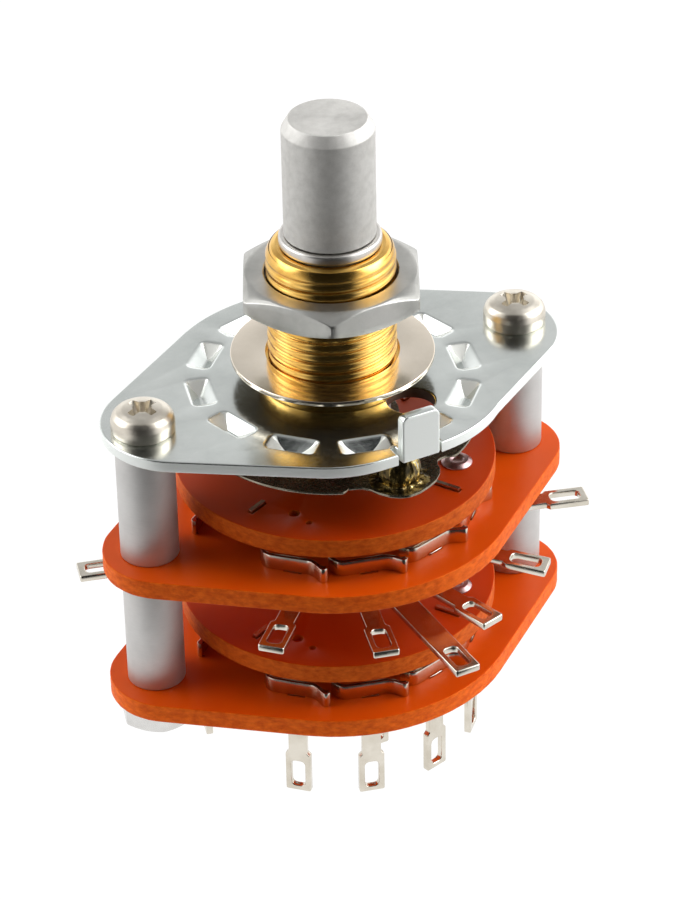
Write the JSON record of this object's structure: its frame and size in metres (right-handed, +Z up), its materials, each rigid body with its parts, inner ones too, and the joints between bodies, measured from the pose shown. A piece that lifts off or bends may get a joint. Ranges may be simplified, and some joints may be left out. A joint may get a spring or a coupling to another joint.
{
  "type": "rotary switch",
  "caption": "Panel-mount rotary switch with a plain round shaft, threaded bushing, index plate and stacked laminate decks with solder lugs, held by long screws through spacers.",
  "frame": {"origin": "on the shaft's axis at the panel seat, the top of the flat washer on the bushing's shoulder", "axes": "+Z up the shaft and out through the panel; X through the two long screws; -Y towards the locating tab"},
  "size_m": [0.0366, 0.038, 0.0491],
  "materials": {
    "shaft": "satin grey nickel, turned",
    "ring": "bright spring steel",
    "brass": "bright turned brass",
    "washer": "bright nickel plate with a warm cast",
    "nut": "grey zinc plate",
    "plate": "bright bluish zinc plate",
    "spring": "spring steel with a film of grease",
    "ball": "polished",
    "spacer": "satin drawn tube",
    "screw": "nickel plate",
    "rotor_laminate": "glossy orange-red paper laminate with paler sawn edges",
    "stator_laminate": "glossy orange-red paper laminate with paler sawn edges",
    "contact": "tinned",
    "rivet": "plain brass"
  },
  "bodies": {
    "frame": {"bushing": "brass", "flat_washer": "washer", "front_plate": "plate", "upper_stator": "stator_laminate", "lower_stator": "stator_laminate", "upper_left_spacer": "spacer", "upper_right_spacer": "spacer", "lower_left_spacer": "spacer", "lower_right_spacer": "spacer", "left_screw": "screw", "right_screw": "screw", "left_screw_nut": "screw", "right_screw_nut": "screw", "upper_contact_1": "contact", "upper_contact_2": "contact", "upper_contact_3": "contact", "upper_contact_4": "contact", "upper_contact_5": "contact", "upper_contact_6": "contact", "upper_contact_7": "contact", "upper_contact_8": "contact", "upper_contact_9": "contact", "upper_contact_10": "contact", "upper_common_front": "contact", "upper_common_rear": "contact", "lower_contact_1": "contact", "lower_contact_2": "contact", "lower_contact_3": "contact", "lower_contact_4": "contact", "lower_contact_5": "contact", "lower_contact_6": "contact", "lower_contact_7": "contact", "lower_contact_8": "contact", "lower_contact_9": "contact", "lower_contact_10": "contact", "lower_common_front": "contact", "lower_common_rear": "contact"},
    "rotor": {"shaft": "shaft", "retaining_ring": "ring", "index_spring": "spring", "front_detent_ball": "ball", "rear_detent_ball": "ball", "index_sleeve": "spacer", "upper_rotor": "rotor_laminate", "upper_wiper_a": "contact", "upper_wiper_b": "contact", "upper_wiper_rivets": "rivet", "rotor_sleeve": "spacer", "lower_rotor": "rotor_laminate", "lower_wiper_a": "contact", "lower_wiper_b": "contact", "lower_wiper_rivets": "rivet", "tail_clip": "spring"},
    "mounting_nut": {"mounting_nut": "nut"}
  },
  "joints": [
    {"name": "index_turn", "type": "hinge", "parent": "frame", "child": "rotor", "pos_m": [0, 0, 0], "axis": [0, 0, 1], "range_deg": [-60, 60], "deforming": ["index_spring", "front_detent_ball", "rear_detent_ball"]},
    {"name": "nut_travel", "type": "slide", "parent": "frame", "child": "mounting_nut", "axis": [0, 0, 1], "range_m": [-0.0043, 0.0165]}
  ]
}
